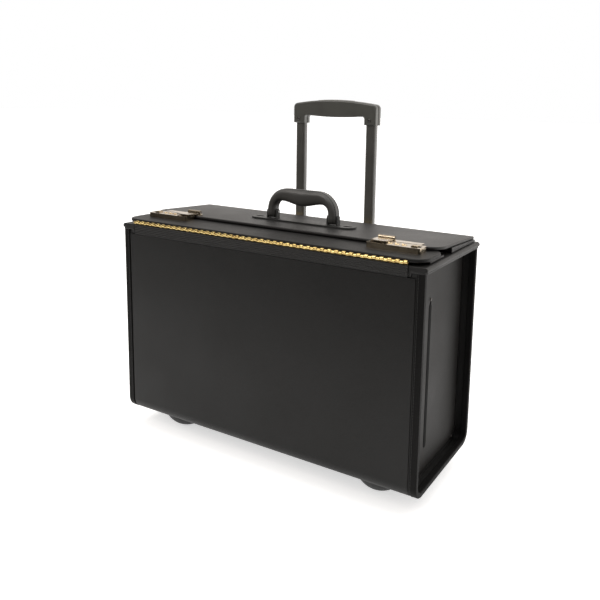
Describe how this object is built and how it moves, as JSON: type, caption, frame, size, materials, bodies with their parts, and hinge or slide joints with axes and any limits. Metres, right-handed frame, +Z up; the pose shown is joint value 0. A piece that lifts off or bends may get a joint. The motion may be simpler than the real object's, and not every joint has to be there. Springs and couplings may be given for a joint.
{
  "type": "rolling flight case",
  "caption": "Box-shaped rolling pilot case with recessed ends, two-part hinged top, combination locks, carry handle, glide feet, wheels and telescopic trolley handle.",
  "frame": {"origin": "on the floor, under the middle of the whole outline", "axes": "+X along the case to its right end as seen from the front, +Y from the front to the back where the trolley handle is, +Z up"},
  "size_m": [0.569, 0.2542, 0.5884],
  "materials": {
    "vinyl": "black leather-look vinyl over board, fine grain, soft sheen",
    "vinyl_trim": "black vinyl binding, slightly glossier",
    "handle_leather": "padded black leather-look handle with a side seam",
    "lining": "charcoal lining cloth",
    "hinge_brass": "bright brass plating",
    "lock_metal": "warm nickel-brass plating, worn at the edges",
    "dial_brass": "brass number wheels",
    "steel": "plated steel",
    "black_tube": "black powder-coated tube, semi-gloss",
    "black_plastic": "moulded black plastic, fine texture",
    "button_plastic": "light grey push button",
    "foot_rubber": "black rubber",
    "tyre": "black rubber tyre"
  },
  "bodies": {
    "case": {"wrap_panel": "vinyl", "end_panel_left": "vinyl_trim", "end_panel_right": "vinyl_trim", "end_rail_left": "vinyl_trim", "end_rail_right": "vinyl_trim", "edge_binding_left": "vinyl_trim", "edge_binding_right": "vinyl_trim", "ribbed_band": "vinyl_trim", "base_board": "lining", "end_rivets": "lock_metal", "front_hinge_body_leaf": "hinge_brass", "front_hinge_pin": "hinge_brass", "rear_hinge_body_leaf": "hinge_brass", "rear_hinge_pin": "hinge_brass", "outer_tube_left": "black_tube", "outer_tube_right": "black_tube", "trolley_top_bracket": "black_plastic", "trolley_bottom_bracket": "black_plastic", "wheel_housing_left": "black_plastic", "wheel_housing_right": "black_plastic", "wheel_axles": "steel", "glide_foot_left": "foot_rubber", "glide_foot_right": "foot_rubber", "case_screws": "steel"},
    "lid": {"rear_lid": "vinyl", "lid_battens": "vinyl_trim", "rear_hinge_lid_leaf": "hinge_brass", "handle_plate": "black_plastic", "handle_pins": "lock_metal", "hasp_plate_left": "lock_metal", "hasp_plate_right": "lock_metal", "hasp_pins": "steel"},
    "flap": {"front_flap": "vinyl", "front_hinge_flap_leaf": "hinge_brass", "lock_base_left": "lock_metal", "lock_base_right": "lock_metal", "dial_axle_left": "steel", "dial_axle_right": "steel"},
    "handle": {"carry_handle": "handle_leather"},
    "hasp_left": {"hasp_left": "lock_metal"},
    "hasp_right": {"hasp_right": "lock_metal"},
    "slide_left": {"lock_slide_left": "lock_metal"},
    "slide_right": {"lock_slide_right": "lock_metal"},
    "trolley_middle": {"middle_tube_left": "black_tube", "middle_tube_right": "black_tube"},
    "trolley_inner": {"inner_tube_left": "black_tube", "inner_tube_right": "black_tube", "trolley_grip": "black_plastic", "grip_screws": "steel"},
    "release_button": {"grip_button": "button_plastic"},
    "wheel_left": {"wheel_tyre_left": "tyre", "wheel_hub_left": "black_plastic"},
    "wheel_right": {"wheel_tyre_right": "tyre", "wheel_hub_right": "black_plastic"},
    "dial_left_1": {"dial_left_1": "dial_brass"},
    "dial_left_2": {"dial_left_2": "dial_brass"},
    "dial_left_3": {"dial_left_3": "dial_brass"},
    "dial_right_1": {"dial_right_1": "dial_brass"},
    "dial_right_2": {"dial_right_2": "dial_brass"},
    "dial_right_3": {"dial_right_3": "dial_brass"}
  },
  "joints": [
    {"name": "lid_hinge", "type": "hinge", "parent": "case", "child": "lid", "pos_m": [0, 0.0907, 0.373], "axis": [-1, 0, 0], "range_deg": [0, 58]},
    {"name": "flap_hinge", "type": "hinge", "parent": "case", "child": "flap", "pos_m": [0, -0.1245, 0.373], "axis": [1, 0, 0], "range_deg": [0, 92.8]},
    {"name": "handle_swing", "type": "hinge", "parent": "lid", "child": "handle", "pos_m": [0, 0.00796, 0.39504], "axis": [1, 0, 0], "range_deg": [-80, 80]},
    {"name": "trolley_middle_slide", "type": "slide", "parent": "case", "child": "trolley_middle", "axis": [0, 0, 1], "range_m": [0, 0.27]},
    {"name": "trolley_inner_slide", "type": "slide", "parent": "trolley_middle", "child": "trolley_inner", "axis": [0, 0, 1], "range_m": [-0.16, 0.095]},
    {"name": "release_press", "type": "slide", "parent": "trolley_inner", "child": "release_button", "axis": [0, 0, -1], "range_m": [0, 0.003], "stiffness_N_per_m": 500, "springref_m": -0.001},
    {"name": "hasp_left_hinge", "type": "hinge", "parent": "lid", "child": "hasp_left", "pos_m": [-0.1875, -0.04978, 0.38829], "axis": [-1, 0, 0], "range_deg": [0, 110]},
    {"name": "lock_slide_left_travel", "type": "slide", "parent": "flap", "child": "slide_left", "axis": [-1, 0, 0], "range_m": [0, 0.004], "stiffness_N_per_m": 300, "springref_m": -0.001},
    {"name": "dial_left_1_turn", "type": "hinge", "parent": "flap", "child": "dial_left_1", "pos_m": [-0.206, -0.0769, 0.3831], "axis": [1, 0, 0], "continuous": true},
    {"name": "dial_left_2_turn", "type": "hinge", "parent": "flap", "child": "dial_left_2", "pos_m": [-0.217, -0.0769, 0.3831], "axis": [1, 0, 0], "continuous": true},
    {"name": "dial_left_3_turn", "type": "hinge", "parent": "flap", "child": "dial_left_3", "pos_m": [-0.228, -0.0769, 0.3831], "axis": [1, 0, 0], "continuous": true},
    {"name": "wheel_left_spin", "type": "hinge", "parent": "case", "child": "wheel_left", "pos_m": [-0.197, 0.0811, 0.034], "axis": [1, 0, 0], "continuous": true},
    {"name": "hasp_right_hinge", "type": "hinge", "parent": "lid", "child": "hasp_right", "pos_m": [0.1875, -0.04978, 0.38829], "axis": [-1, 0, 0], "range_deg": [0, 110]},
    {"name": "lock_slide_right_travel", "type": "slide", "parent": "flap", "child": "slide_right", "axis": [1, 0, 0], "range_m": [0, 0.004], "stiffness_N_per_m": 300, "springref_m": -0.001},
    {"name": "dial_right_1_turn", "type": "hinge", "parent": "flap", "child": "dial_right_1", "pos_m": [0.206, -0.0769, 0.3831], "axis": [1, 0, 0], "continuous": true},
    {"name": "dial_right_2_turn", "type": "hinge", "parent": "flap", "child": "dial_right_2", "pos_m": [0.217, -0.0769, 0.3831], "axis": [1, 0, 0], "continuous": true},
    {"name": "dial_right_3_turn", "type": "hinge", "parent": "flap", "child": "dial_right_3", "pos_m": [0.228, -0.0769, 0.3831], "axis": [1, 0, 0], "continuous": true},
    {"name": "wheel_right_spin", "type": "hinge", "parent": "case", "child": "wheel_right", "pos_m": [0.197, 0.0811, 0.034], "axis": [1, 0, 0], "continuous": true}
  ],
  "couplings": [
    {"joint": "flap_hinge", "follows": "lid_hinge", "ratio": 1.6}
  ]
}
